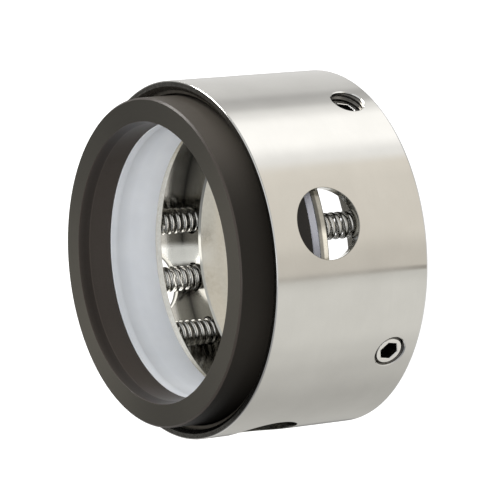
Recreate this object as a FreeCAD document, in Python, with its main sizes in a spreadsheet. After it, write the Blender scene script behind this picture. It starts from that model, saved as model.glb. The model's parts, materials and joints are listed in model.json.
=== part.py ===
import FreeCAD, Part
import Sketcher
import math
import os
from FreeCAD import Vector, Placement, Rotation

# Rotary unit of a multi-spring component mechanical seal for a 60 mm shaft.
# Frame: Z is the seal's axis, z = 0 is the back face of the retainer (where it
# stands) and +Z points to the lapped sealing face on top. Millimetres.

doc = FreeCAD.newDocument("component_seal")
sheet = doc.addObject("Spreadsheet::Sheet", "dims")

TABLE = [
    # alias, value, meaning
    ("shell_radius", 39.5, "outside of the retainer"),
    ("shell_length", 39.3, "back face to front rim"),
    ("shell_inner", 37.4, "inside of the thin front wall"),
    ("rim_inner", 38.25, "flat of the front rim, inner edge"),
    ("rim_lead", 0.8, "depth of the lead-in chamfer of the rim"),
    ("edge_break", 0.3, "small outer edge break"),
    ("back_break", 0.5, "outer edge break at the back"),
    ("collar_bore", 30.05, "bore for the shaft"),
    ("collar_length", 14.8, "thickness of the solid back collar"),
    ("bore_break", 0.6, "lead-in chamfer of the bore"),
    ("groove_low", 36.4, "snap ring groove, lower side"),
    ("groove_high", 37.7, "snap ring groove, upper side"),
    ("groove_radius", 38.35, "snap ring groove, bottom"),
    ("window_radius", 7.85, "round windows in the wall"),
    ("window_height", 25.0, "centre of the windows above the back"),
    ("window_count", 4, "windows"),
    ("screw_height", 7.0, "axis of the set screws above the back"),
    ("screw_angle", 45, "first set screw, degrees from +X"),
    ("screw_count", 4, "set screws"),
    ("screw_hole", 3.7, "radius of the threaded holes, near the pitch radius"),
    ("screw_sink", 3.9, "radius of the countersink at the outside"),
    ("screw_radius", 3.62, "radius of a set screw, near the pitch radius"),
    ("screw_length", 6.0, "length of a set screw"),
    ("screw_chamfer", 0.55, "chamfer at the socket end"),
    ("screw_point", 2.5, "radius at the point"),
    ("cup_radius", 2.0, "radius of the cup of the point"),
    ("cup_depth", 0.9, "depth of the cup"),
    ("hex_flats", 4.0, "hexagon socket across flats"),
    ("hex_depth", 3.0, "depth of the socket"),
    ("spring_step", 22.5, "angle between the three springs of a group, degrees"),
    ("spring_circle", 33.9, "radius of the circle through the springs"),
    ("spring_outer", 3.0, "outer radius of a spring"),
    ("spring_wire", 0.5, "radius of the spring wire"),
    ("spring_pitch", 1.8, "pitch of the coils"),
    ("spring_low", 11.25, "lower end of the springs"),
    ("spring_high", 24.05, "upper end of the springs"),
    ("pocket_radius", 3.25, "spring pockets in the collar"),
    ("pocket_depth", 3.6, "depth of the spring pockets"),
    ("ring_low", 28.2, "rear end of the face ring"),
    ("ring_flange", 36.38, "front of the face ring's flange"),
    ("flange_radius", 37.1, "outside of the face ring's flange"),
    ("nose_radius", 36.2, "outside of the face ring's nose"),
    ("nose_top", 46.3, "sealing face"),
    ("nose_break", 0.4, "edge break round the sealing face"),
    ("face_inner", 31.0, "inner edge of the sealing face"),
    ("face_bore", 30.5, "bore of the face ring"),
    ("face_step", 43.7, "where the inner chamfer meets the bore"),
    ("seat_high", 38.25, "narrow end of the conical seat"),
    ("seat_narrow", 30.92, "radius there"),
    ("seat_wide", 35.1, "radius of the conical seat at the rear"),
    ("wedge_bore", 30.12, "bore of the wedge ring"),
    ("wedge_low", 26.4, "rear face of the wedge ring"),
    ("wedge_tip", 38.1, "tip of the wedge ring"),
    ("wedge_lip", 36.6, "start of the bevel inside the tip"),
    ("wedge_lip_radius", 30.45, "inner radius at the tip"),
    ("wedge_gap", 0.03, "play between wedge and seat"),
    ("disc_low", 24.1, "rear face of the thrust disc"),
    ("disc_high", 26.37, "front face of the thrust disc"),
    ("disc_bore", 31.4, "bore of the thrust disc"),
    ("disc_radius", 37.0, "outside of the thrust disc"),
    ("disc_break", 0.25, "edge breaks of the thrust disc"),
    ("lug_inner", 35.45, "inside of the drive lugs"),
    ("lug_outer", 36.9, "outside of the drive lugs"),
    ("lug_high", 31.4, "end of the drive lugs"),
    ("lug_width", 9.0, "drive lugs, degrees"),
    ("lug_slot", 10.0, "slots for the lugs, degrees"),
    ("lug_angle", 22.5, "first drive lug, degrees from +X"),
    ("slot_high", 31.9, "end of the slots"),
    ("pin_radius", 1.5, "drive pins"),
    ("pin_low", 10.2, "lower end of the drive pins"),
    ("pin_high", 26.3, "upper end of the drive pins"),
    ("pin_chamfer", 0.3, "chamfer of the drive pins"),
    ("pin_angle", 78.75, "first drive pin, degrees from +X"),
    ("pin_hole", 1.75, "running holes of the pins in the collar"),
    ("pin_hole_low", 6.2, "bottom of those holes"),
    ("snap_inner", 36.5, "inside of the snap ring"),
    ("snap_outer", 38.25, "outside of the snap ring"),
    ("snap_low", 36.45, "lower side of the snap ring"),
    ("snap_high", 37.65, "upper side of the snap ring"),
    ("snap_angle", 353, "arc of the snap ring, degrees"),
]
for row, (alias, value, meaning) in enumerate(TABLE, start=1):
    sheet.set("A%d" % row, meaning)
    sheet.set("B%d" % row, str(value))
    sheet.setAlias("B%d" % row, alias)
doc.recompute()


class Dim:
    """A size that keeps its number and its expression in the sheet together."""

    def __init__(self, number, text):
        self.number = float(number)
        self.text = text

    def __add__(self, other):
        other = dim(other)
        return Dim(self.number + other.number, "(%s + %s)" % (self.text, other.text))

    def __sub__(self, other):
        other = dim(other)
        return Dim(self.number - other.number, "(%s - %s)" % (self.text, other.text))

    def __mul__(self, other):
        other = dim(other)
        return Dim(self.number * other.number, "(%s * %s)" % (self.text, other.text))


def dim(value):
    return value if isinstance(value, Dim) else Dim(value, repr(float(value)))


class Names:
    pass


D = Names()
for alias, value, meaning in TABLE:
    setattr(D, alias, Dim(value, "dims.%s" % alias))


def origin(body, role):
    for feature in body.Origin.OriginFeatures:
        if feature.Role == role:
            return feature
    raise ValueError(role)


def new_sketch(body, name, role, height=None, turn=None):
    """A sketch on one of the body's own planes, raised along the plane's normal
    or turned about the seal's axis."""
    sketch = body.newObject("Sketcher::SketchObject", name)
    sketch.AttachmentSupport = [(origin(body, role), "")]
    sketch.MapMode = "FlatFace"
    if height is not None:
        sketch.AttachmentOffset = Placement(Vector(0, 0, height.number), Rotation())
        sketch.setExpression("AttachmentOffset.Base.z", height.text)
    if turn is not None:
        axis = Vector(0, 1, 0) if role in ("XZ_Plane", "YZ_Plane") else Vector(0, 0, 1)
        base = Vector(0, 0, height.number) if height is not None else Vector()
        sketch.AttachmentOffset = Placement(base, Rotation(axis, turn.number))
        sketch.setExpression("AttachmentOffset.Rotation.Angle", turn.text)
        if height is not None:
            sketch.setExpression("AttachmentOffset.Base.z", height.text)
    return sketch


def pin_point(sketch, geo, pos, x, y, tag):
    """Fixes one point of the sketch at x, y, both bound to the sheet."""
    for value, kind, axis, letter in ((x, "DistanceX", -2, "x"), (y, "DistanceY", -1, "y")):
        if abs(value.number) < 1e-9:
            sketch.addConstraint(Sketcher.Constraint("PointOnObject", geo, pos, axis))
        else:
            index = sketch.addConstraint(Sketcher.Constraint(kind, -1, 1, geo, pos, value.number))
            name = "%s_%s" % (letter, tag)
            sketch.renameConstraint(index, name)
            sketch.setExpression("Constraints.%s" % name, value.text)


def polygon(sketch, points):
    """A closed outline whose corners are all bound to the sheet."""
    points = [(dim(x), dim(y)) for x, y in points]
    count = len(points)
    for i in range(count):
        a, b = points[i], points[(i + 1) % count]
        sketch.addGeometry(Part.LineSegment(Vector(a[0].number, a[1].number, 0), Vector(b[0].number, b[1].number, 0)), False)
    for i in range(count):
        sketch.addConstraint(Sketcher.Constraint("Coincident", i, 2, (i + 1) % count, 1))
    for i in range(count):
        pin_point(sketch, i, 1, points[i][0], points[i][1], "p%d" % i)
    return sketch


def circle(sketch, x, y, radius):
    x, y, radius = dim(x), dim(y), dim(radius)
    geo = sketch.addGeometry(Part.Circle(Vector(x.number, y.number, 0), Vector(0, 0, 1), radius.number), False)
    index = sketch.addConstraint(Sketcher.Constraint("Radius", geo, radius.number))
    sketch.renameConstraint(index, "radius_%d" % geo)
    sketch.setExpression("Constraints.radius_%d" % geo, radius.text)
    pin_point(sketch, geo, 3, x, y, "c%d" % geo)
    return sketch


def new_body(label):
    body = doc.addObject("PartDesign::Body", label)
    body.Label = label
    return body


def revolve(body, name, points, kind="PartDesign::Revolution", angle=None, turn=None, middle=False):
    sketch = new_sketch(body, name + "_outline", "XZ_Plane", turn=turn)
    polygon(sketch, points)
    feature = body.newObject(kind, name)
    feature.Profile = sketch
    feature.ReferenceAxis = (sketch, ["V_Axis"])
    feature.Angle = 360.0 if angle is None else angle.number
    if angle is not None:
        feature.setExpression("Angle", angle.text)
    if middle:
        feature.Midplane = True
    doc.recompute()
    return feature


def pocket(body, name, sketch, depth, reverse=False):
    before = body.Shape.Volume
    feature = body.newObject("PartDesign::Pocket", name)
    feature.Profile = sketch
    feature.Type = "Length"
    feature.Length = depth.number
    feature.setExpression("Length", depth.text)
    feature.Reversed = reverse
    doc.recompute()
    if not feature.Shape.Volume < before - 1e-3:
        raise RuntimeError("%s cuts nothing" % name)
    return feature


def repeat(body, name, features, count):
    """Repeats features evenly round the seal's axis."""
    before = body.Shape.Volume
    pattern = body.newObject("PartDesign::PolarPattern", name)
    pattern.Originals = features
    pattern.Axis = (origin(body, "Z_Axis"), [""])
    pattern.Angle = 360
    pattern.Occurrences = int(count.number)
    pattern.setExpression("Occurrences", count.text)
    body.Tip = pattern
    doc.recompute()
    if abs(pattern.Shape.Volume - before) < 1e-3:
        raise RuntimeError("%s changes nothing" % name)
    return pattern


# ---------------------------------------------------------------- retainer
# One turned piece: a thick collar at the back that takes the shaft, the set
# screws and the spring pockets, and a thin wall forward of it with a lead-in
# chamfer and a groove for the snap ring near its front rim.
retainer = new_body("retainer")
revolve(retainer, "turned", [
    (D.collar_bore + D.bore_break, 0),
    (D.shell_radius - D.back_break, 0),
    (D.shell_radius, D.back_break),
    (D.shell_radius, D.shell_length - D.edge_break),
    (D.shell_radius - D.edge_break, D.shell_length),
    (D.rim_inner, D.shell_length),
    (D.shell_inner, D.shell_length - D.rim_lead),
    (D.shell_inner, D.groove_high),
    (D.groove_radius, D.groove_high),
    (D.groove_radius, D.groove_low),
    (D.shell_inner, D.groove_low),
    (D.shell_inner, D.collar_length),
    (D.collar_bore + D.bore_break * 0.7, D.collar_length),
    (D.collar_bore, D.collar_length - D.bore_break * 0.7),
    (D.collar_bore, D.bore_break),
])

# Round windows through the thin wall, which flush the springs and show them.
window = new_sketch(retainer, "window_outline", "YZ_Plane")
circle(window, 0, D.window_height, D.window_radius)
windows = pocket(retainer, "window", window, D.shell_radius + 2)
repeat(retainer, "windows", [windows], D.window_count)

# Radial holes of the set screws through the collar, half way between windows.
hole = new_sketch(retainer, "screw_hole_outline", "YZ_Plane", turn=D.screw_angle)
circle(hole, 0, D.screw_height, D.screw_hole)
holes = pocket(retainer, "screw_hole", hole, D.shell_radius + 2)
repeat(retainer, "screw_holes", [holes], D.screw_count)

# Countersinks at the mouths of those holes, turned about each hole's axis.
sink = new_sketch(retainer, "sink_outline", "XY_Plane", height=D.screw_height, turn=D.screw_angle)
polygon(sink, [
    (D.shell_radius - (D.screw_sink - D.screw_hole) - 0.25, 0),
    (D.shell_radius + 0.4, 0),
    (D.shell_radius + 0.4, D.screw_sink + 0.4),
    (D.shell_radius - (D.screw_sink - D.screw_hole) - 0.25, D.screw_hole - 0.25),
])
before = retainer.Shape.Volume
sinks = retainer.newObject("PartDesign::Groove", "sink")
sinks.Profile = sink
sinks.ReferenceAxis = (sink, ["H_Axis"])
sinks.Angle = 360.0
doc.recompute()
if not sinks.Shape.Volume < before:
    raise RuntimeError("the countersink cuts nothing")
repeat(retainer, "sinks", [sinks], D.screw_count)

# Pockets in the collar's front face, one for each spring. They stand in groups
# of three, one group behind each window, and leave the set screws' places free.
seat = new_sketch(retainer, "spring_pocket_outline", "XY_Plane", height=D.collar_length)
step = math.radians(D.spring_step.number)
along = Dim(D.spring_circle.number * math.cos(step), "dims.spring_circle * cos(dims.spring_step * 1 deg)")
across = Dim(D.spring_circle.number * math.sin(step), "dims.spring_circle * sin(dims.spring_step * 1 deg)")
circle(seat, D.spring_circle, 0, D.pocket_radius)
circle(seat, along, across, D.pocket_radius)
circle(seat, along, Dim(0, "0") - across, D.pocket_radius)
seats = pocket(retainer, "spring_pocket", seat, D.pocket_depth)
repeat(retainer, "spring_pockets", [seats], D.window_count)

# Two running holes for the drive pins, between springs.
guide = new_sketch(retainer, "pin_hole_outline", "XY_Plane", height=D.collar_length, turn=D.pin_angle)
circle(guide, D.spring_circle, 0, D.pin_hole)
guides = pocket(retainer, "pin_hole", guide, D.collar_length - D.pin_hole_low)
repeat(retainer, "pin_holes", [guides], dim(2))

# --------------------------------------------------------------- face ring
# Solid ring whose nose stands out of the retainer and carries the lapped
# face. Its flange is held behind the snap ring, and a cone inside the rear
# seats the wedge ring. Two slots at the rear take the disc's drive lugs.
face_ring = new_body("face_ring")
revolve(face_ring, "ground", [
    (D.face_inner, D.nose_top),
    (D.nose_radius - D.nose_break, D.nose_top),
    (D.nose_radius, D.nose_top - D.nose_break),
    (D.nose_radius, D.ring_flange),
    (D.flange_radius - 0.2, D.ring_flange),
    (D.flange_radius, D.ring_flange - 0.2),
    (D.flange_radius, D.ring_low + 0.2),
    (D.flange_radius - 0.2, D.ring_low),
    (D.seat_wide, D.ring_low),
    (D.seat_narrow, D.seat_high),
    (D.face_bore, D.seat_high),
    (D.face_bore, D.face_step),
])
slot = revolve(face_ring, "lug_slot", [
    (D.seat_wide - 1.6, D.ring_low - 1),
    (D.flange_radius + 1, D.ring_low - 1),
    (D.flange_radius + 1, D.slot_high),
    (D.seat_wide - 1.6, D.slot_high),
], kind="PartDesign::Groove", angle=D.lug_slot, turn=D.lug_angle, middle=True)
repeat(face_ring, "lug_slots", [slot], dim(2))

# -------------------------------------------------------------- wedge ring
# PTFE wedge: a cylinder inside that seals on the shaft, a cone outside in the
# face ring's seat, a thin rear rim, and a bevelled tip.
wedge_ring = new_body("wedge_ring")
revolve(wedge_ring, "moulded", [
    (D.wedge_bore + 0.2, D.wedge_low),
    (D.flange_radius - 0.15, D.wedge_low),
    (D.flange_radius, D.wedge_low + 0.15),
    (D.flange_radius, D.ring_low - 0.15 - D.wedge_gap),
    (D.flange_radius - 0.15, D.ring_low - D.wedge_gap),
    (D.seat_wide - D.wedge_gap, D.ring_low - D.wedge_gap),
    (D.seat_narrow - D.wedge_gap, D.wedge_tip),
    (D.wedge_lip_radius, D.wedge_tip),
    (D.wedge_bore, D.wedge_lip),
    (D.wedge_bore, D.wedge_low + 0.2),
])
notch = revolve(wedge_ring, "lug_notch", [
    (D.lug_inner - 0.25, D.wedge_low - 1),
    (D.flange_radius + 1, D.wedge_low - 1),
    (D.flange_radius + 1, D.slot_high),
    (D.lug_inner - 0.25, D.slot_high),
], kind="PartDesign::Groove", angle=D.lug_slot, turn=D.lug_angle, middle=True)
repeat(wedge_ring, "lug_notches", [notch], dim(2))

# ------------------------------------------------------------- thrust disc
# Steel disc that spreads the springs' force over the wedge ring. Two lugs
# reach forward into the face ring and two holes hold the drive pins.
thrust_disc = new_body("thrust_disc")
revolve(thrust_disc, "blanked", [
    (D.disc_bore + D.disc_break, D.disc_low),
    (D.disc_radius - D.disc_break, D.disc_low),
    (D.disc_radius, D.disc_low + D.disc_break),
    (D.disc_radius, D.disc_high - D.disc_break),
    (D.disc_radius - D.disc_break, D.disc_high),
    (D.disc_bore + D.disc_break, D.disc_high),
    (D.disc_bore, D.disc_high - D.disc_break),
    (D.disc_bore, D.disc_low + D.disc_break),
])
lug = revolve(thrust_disc, "lug", [
    (D.lug_inner, D.disc_low + D.disc_break),
    (D.lug_outer, D.disc_low + D.disc_break),
    (D.lug_outer, D.lug_high),
    (D.lug_inner, D.lug_high),
], angle=D.lug_width, turn=D.lug_angle, middle=True)
repeat(thrust_disc, "lugs", [lug], dim(2))
pin_seat = new_sketch(thrust_disc, "pin_seat_outline", "XY_Plane", height=D.disc_high + 0.5, turn=D.pin_angle)
circle(pin_seat, D.spring_circle, 0, D.pin_radius)
pin_seats = pocket(thrust_disc, "pin_seat", pin_seat, dim(4))
repeat(thrust_disc, "pin_seats", [pin_seats], dim(2))

# --------------------------------------------------------------- snap ring
# Flat split ring in the retainer's groove. It stops the face ring's flange.
# Its gap is centred on +X.
snap_ring = new_body("snap_ring")
revolve(snap_ring, "bent", [
    (D.snap_inner + 0.15, D.snap_low),
    (D.snap_outer, D.snap_low),
    (D.snap_outer, D.snap_high),
    (D.snap_inner + 0.15, D.snap_high),
    (D.snap_inner, D.snap_high - 0.15),
    (D.snap_inner, D.snap_low + 0.15),
], angle=D.snap_angle, turn=dim(180), middle=True)

bodies = [retainer, face_ring, wedge_ring, thrust_disc, snap_ring]

# ------------------------------------------------------------- coil springs
# Right-hand helices of round wire, one in each pocket.
for k in range(3 * int(D.window_count.number)):
    spring = new_body("spring_%02d" % (k + 1))
    section = new_sketch(spring, "wire_%02d" % (k + 1), "XZ_Plane")
    circle(section, D.spring_outer - D.spring_wire, D.spring_wire, D.spring_wire)
    coil = spring.newObject("PartDesign::AdditiveHelix", "coil_%02d" % (k + 1))
    coil.Profile = section
    coil.ReferenceAxis = (section, ["V_Axis"])
    coil.Mode = 0
    length = D.spring_high - D.spring_low - D.spring_wire * 2
    coil.Pitch = D.spring_pitch.number
    coil.setExpression("Pitch", D.spring_pitch.text)
    coil.Height = length.number
    coil.setExpression("Height", length.text)
    coil.Angle = 0
    coil.Growth = 0
    coil.LeftHanded = False
    angle = (k // 3) * 360.0 / D.window_count.number + (k % 3 - 1) * D.spring_step.number
    spring.Placement = Placement(
        Vector(D.spring_circle.number * math.cos(math.radians(angle)), D.spring_circle.number * math.sin(math.radians(angle)), D.spring_low.number),
        Rotation(Vector(0, 0, 1), angle),
    )
    spring.setExpression("Placement.Base.x", "dims.spring_circle * cos(%r deg)" % angle)
    spring.setExpression("Placement.Base.y", "dims.spring_circle * sin(%r deg)" % angle)
    spring.setExpression("Placement.Base.z", D.spring_low.text)
    bodies.append(spring)

# --------------------------------------------------------------- drive pins
# Pressed into the thrust disc, they slide in the collar's running holes.
for k in range(2):
    pin = new_body("drive_pin_%d" % (k + 1))
    revolve(pin, "pin_%d" % (k + 1), [
        (0, 0),
        (D.pin_radius - D.pin_chamfer, 0),
        (D.pin_radius, D.pin_chamfer),
        (D.pin_radius, D.pin_high - D.pin_low - D.pin_chamfer),
        (D.pin_radius - D.pin_chamfer, D.pin_high - D.pin_low),
        (0, D.pin_high - D.pin_low),
    ])
    angle = D.pin_angle.number + 180.0 * k
    pin.Placement = Placement(
        Vector(D.spring_circle.number * math.cos(math.radians(angle)), D.spring_circle.number * math.sin(math.radians(angle)), D.pin_low.number),
        Rotation(),
    )
    turned = "(dims.pin_angle + %d) * 1 deg" % (180 * k)
    pin.setExpression("Placement.Base.x", "dims.spring_circle * cos(%s)" % turned)
    pin.setExpression("Placement.Base.y", "dims.spring_circle * sin(%s)" % turned)
    pin.setExpression("Placement.Base.z", D.pin_low.text)
    bodies.append(pin)

# --------------------------------------------------------------- set screws
# Socket set screws with a cup point. Each stands at its own depth below the
# outside of the retainer, with its point towards the shaft.
DEPTHS = [2.2, 1.2, 1.2, 0.45]
for k, depth in enumerate(DEPTHS):
    screw = new_body("set_screw_%d" % (k + 1))
    revolve(screw, "screw_%d" % (k + 1), [
        (0, D.cup_depth),
        (D.cup_radius, 0),
        (D.screw_point, 0),
        (D.screw_radius, D.screw_radius - D.screw_point),
        (D.screw_radius, D.screw_length - D.screw_chamfer),
        (D.screw_radius - D.screw_chamfer, D.screw_length),
        (0, D.screw_length),
    ])
    hexagon = new_sketch(screw, "socket_outline_%d" % (k + 1), "XY_Plane", height=D.screw_length)
    flat = D.hex_flats * 0.5
    corner = D.hex_flats * (1 / math.sqrt(3))
    half = D.hex_flats * (0.5 / math.sqrt(3))
    zero = Dim(0, "0")
    polygon(hexagon, [
        (corner, zero),
        (half, flat),
        (zero - half, flat),
        (zero - corner, zero),
        (zero - half, zero - flat),
        (half, zero - flat),
    ])
    pocket(screw, "socket_%d" % (k + 1), hexagon, D.hex_depth)
    angle = math.radians(D.screw_angle.number + 90.0 * k)
    outward = Vector(math.cos(angle), math.sin(angle), 0)
    foot = D.shell_radius - D.screw_length - depth
    screw.Placement = Placement(outward * foot.number + Vector(0, 0, D.screw_height.number), Rotation(Vector(0, 0, 1), outward))
    turned = "(dims.screw_angle + %d) * 1 deg" % (90 * k)
    screw.setExpression("Placement.Base.x", "%s * cos(%s)" % (foot.text, turned))
    screw.setExpression("Placement.Base.y", "%s * sin(%s)" % (foot.text, turned))
    screw.setExpression("Placement.Base.z", D.screw_height.text)
    bodies.append(screw)

# ------------------------------------------------------------------- output
doc.recompute()
for item in doc.Objects:
    if "Invalid" in item.State or "Error" in item.State:
        raise RuntimeError("%s is %s" % (item.Name, item.State))
os.makedirs("parts", exist_ok=True)
for body in bodies:
    shape = body.Shape
    if shape.isNull() or not shape.isValid() or len(shape.Solids) != 1:
        raise RuntimeError("%s is not one valid solid" % body.Label)
for body in bodies:
    shape = body.Shape
    shape.exportStep("parts/%s.step" % body.Label)
    box = shape.BoundBox
    print("%-14s %9.2f mm3  x %.2f..%.2f  y %.2f..%.2f  z %.2f..%.2f" % (body.Label, shape.Volume, box.XMin, box.XMax, box.YMin, box.YMax, box.ZMin, box.ZMax))
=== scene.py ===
import json
import math

import bmesh
import bpy
import numpy as np
from mathutils import Matrix, Vector
from mathutils.geometry import delaunay_2d_cdt

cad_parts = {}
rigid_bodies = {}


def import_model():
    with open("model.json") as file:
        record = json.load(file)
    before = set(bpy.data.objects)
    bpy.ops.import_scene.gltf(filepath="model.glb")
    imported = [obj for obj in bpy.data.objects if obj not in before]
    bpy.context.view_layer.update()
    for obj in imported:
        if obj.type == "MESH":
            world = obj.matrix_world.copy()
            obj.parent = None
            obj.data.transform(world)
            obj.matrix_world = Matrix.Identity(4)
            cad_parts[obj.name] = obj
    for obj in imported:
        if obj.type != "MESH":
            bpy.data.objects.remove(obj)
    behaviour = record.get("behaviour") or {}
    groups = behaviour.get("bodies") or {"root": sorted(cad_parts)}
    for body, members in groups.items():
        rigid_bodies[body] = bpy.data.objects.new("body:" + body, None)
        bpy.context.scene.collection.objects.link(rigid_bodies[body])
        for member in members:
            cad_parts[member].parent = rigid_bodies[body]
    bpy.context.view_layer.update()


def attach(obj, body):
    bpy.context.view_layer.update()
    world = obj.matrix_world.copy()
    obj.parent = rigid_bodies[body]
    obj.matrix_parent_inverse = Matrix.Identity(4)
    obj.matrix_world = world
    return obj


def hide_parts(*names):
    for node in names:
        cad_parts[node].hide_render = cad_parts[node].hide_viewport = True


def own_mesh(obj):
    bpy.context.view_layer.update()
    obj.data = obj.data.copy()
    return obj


for old in list(bpy.data.objects):
    bpy.data.objects.remove(old)

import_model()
scene = bpy.context.scene

# Sizes in millimetres, as the model has them: z = 0 is the back face.
MM = 0.001
TAU = 2 * math.pi
ROUND = 288  # steps round the seal's axis


# ------------------------------------------------------------------ surfaces
class Surface:
    """Smooth patches in millimetres, each with exact normals, welded into one mesh."""

    def __init__(self):
        self.co, self.no, self.faces, self.mats, self.size = [], [], [], [], 0

    def add(self, co, no, faces, mat=0):
        co = np.asarray(co, float).reshape(-1, 3)
        no = np.asarray(no, float).reshape(-1, 3)
        no = no / np.maximum(np.linalg.norm(no, axis=1, keepdims=True), 1e-12)
        faces = np.asarray(faces, int)
        p = co[faces]
        if faces.shape[1] == 4:
            geometric = np.cross(p[:, 2] - p[:, 0], p[:, 3] - p[:, 1])
        else:
            geometric = np.cross(p[:, 1] - p[:, 0], p[:, 2] - p[:, 0])
        wrong = np.einsum("ij,ij->i", geometric, no[faces].mean(1)) < 0
        faces[wrong] = faces[wrong][:, ::-1]
        self.co.append(co)
        self.no.append(no)
        self.faces.extend((faces + self.size).tolist())
        self.mats.extend([mat] * len(faces))
        self.size += len(co)

    def grid(self, co, no, wrap=False, mat=0):
        """A patch of rows by columns. With wrap, the last column joins the first."""
        co = np.asarray(co, float)
        rows, cols = co.shape[:2]
        i, j = np.meshgrid(np.arange(rows - 1), np.arange(cols if wrap else cols - 1), indexing="ij")
        k = (j + 1) % cols
        faces = np.stack([i * cols + j, i * cols + k, (i + 1) * cols + k, (i + 1) * cols + j], -1).reshape(-1, 4)
        self.add(co, no, faces, mat)

    def cap(self, co, normal, mat=0):
        """One flat face."""
        co = np.asarray(co, float)
        a = np.cross(co - co.mean(0), np.roll(co, -1, 0) - co.mean(0)).sum(0)
        if a @ np.asarray(normal) < 0:
            co = co[::-1]
        self.co.append(co)
        self.no.append(np.tile(np.asarray(normal, float), (len(co), 1)))
        self.faces.append(list(range(self.size, self.size + len(co))))
        self.mats.append(mat)
        self.size += len(co)


def piece(name, surface, materials, body, slot, *replaced):
    """The welded object, with its exact normals, riding on its body."""
    co = np.concatenate(surface.co) * MM
    no = np.concatenate(surface.no)
    me = bpy.data.meshes.new(name)
    me.from_pydata(co.tolist(), [], surface.faces)
    for m in materials:
        me.materials.append(m)
    me.polygons.foreach_set("material_index", surface.mats)
    kept = me.attributes.new("exact", "FLOAT_VECTOR", "CORNER")
    index = np.empty(len(me.loops), np.int32)
    me.loops.foreach_get("vertex_index", index)
    kept.data.foreach_set("vector", no[index].astype(np.float32).ravel())
    bm = bmesh.new()
    bm.from_mesh(me)
    bmesh.ops.remove_doubles(bm, verts=bm.verts, dist=0.0008 * MM)
    flat = [f for f in bm.faces if f.calc_area() < 1e-14]
    if flat:
        bmesh.ops.delete(bm, geom=flat, context="FACES_ONLY")
    loose = [v for v in bm.verts if not v.link_faces]
    if loose:
        bmesh.ops.delete(bm, geom=loose, context="VERTS")
    bm.to_mesh(me)
    bm.free()
    me.polygons.foreach_set("use_smooth", [True] * len(me.polygons))
    exact = np.empty(len(me.loops) * 3, np.float32)
    me.attributes["exact"].data.foreach_get("vector", exact)
    me.attributes.remove(me.attributes["exact"])
    me.normals_split_custom_set(exact.reshape(-1, 3).tolist())
    me.update()
    ob = bpy.data.objects.new(name, me)
    scene.collection.objects.link(ob)
    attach(ob, body)
    if replaced:
        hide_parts(*replaced)
    return ob


def rounded(points, closed=False, steps=5, longest=4.0):
    """Strips of (R, z, nR, nz) along an outline of (R, z, fillet): its straight runs
    and the fillets between them. The outside is on the right of the way along it."""
    pts = [np.array(p[:2], float) for p in points]
    fil = [p[2] if len(p) > 2 else 0.0 for p in points]
    n = len(pts)
    strips = []
    start, end = [None] * n, [None] * n
    for i in range(n):
        if not closed and i in (0, n - 1):
            start[i] = end[i] = pts[i]
            continue
        d0 = pts[i] - pts[i - 1]
        d1 = pts[(i + 1) % n] - pts[i]
        d0, d1 = d0 / np.linalg.norm(d0), d1 / np.linalg.norm(d1)
        turn = math.atan2(d0[0] * d1[1] - d0[1] * d1[0], d0 @ d1)
        t = fil[i] * math.tan(abs(turn) / 2)
        end[i], start[i] = pts[i] - d0 * t, pts[i] + d1 * t
    for i in range(n if closed else n - 1):
        k = (i + 1) % n
        a, b = start[i], end[k]
        d = pts[k] - pts[i]
        d = d / np.linalg.norm(d)
        normal = np.array([d[1], -d[0]])
        count = max(1, int(math.ceil(np.linalg.norm(b - a) / longest)))
        if np.linalg.norm(b - a) > 1e-9:
            s = np.linspace(0, 1, count + 1)[:, None]
            strips.append(np.hstack([a + (b - a) * s, np.tile(normal, (count + 1, 1))]))
        if fil[k] and (closed or k < n - 1):
            d1 = pts[(k + 1) % n] - pts[k]
            d1 = d1 / np.linalg.norm(d1)
            turn = math.atan2(d[0] * d1[1] - d[1] * d1[0], d @ d1)
            sign = 1 if turn > 0 else -1
            centre = end[k] - sign * normal * fil[k]
            arc = []
            for s in np.linspace(0, turn, steps + 1):
                c, q = math.cos(s), math.sin(s)
                m = np.array([normal[0] * c - normal[1] * q, normal[0] * q + normal[1] * c])
                arc.append([*(centre + sign * m * fil[k]), *m])
            strips.append(np.array(arc))
    return strips


WORLD = (np.zeros(3), np.array([1.0, 0, 0]), np.array([0, 1.0, 0]), np.array([0, 0, 1.0]))


def lathe(surface, strips, count=ROUND, a0=0.0, a1=360.0, place=WORLD, mat=0):
    """Turns strips about an axis."""
    full = abs(a1 - a0) > 359.999
    ang = np.radians(np.linspace(a0, a1, count + 1))
    if full:
        ang = ang[:-1]
    o, ex, ey, ez = place
    ring = np.cos(ang)[:, None] * ex + np.sin(ang)[:, None] * ey
    for s in strips:
        co = o + s[:, 0, None, None] * ring + s[:, 1, None, None] * ez
        no = s[:, 2, None, None] * ring + s[:, 3, None, None] * ez
        surface.grid(co, no, wrap=full, mat=mat)


def triangles(points, loops):
    """Delaunay triangles over the points, with the loops kept as edges."""
    points = np.asarray(points, float)
    edges = [(loop[i], loop[(i + 1) % len(loop)]) for loop in loops for i in range(len(loop))]
    co, _, faces, origin, _, _ = delaunay_2d_cdt([Vector(p) for p in points], edges, [], 0, 1e-7)
    exact = np.array([points[o[0]] if o else tuple(c) for c, o in zip(co, origin)])
    return exact, np.array([f for f in faces if len(f) == 3], int)


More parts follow.
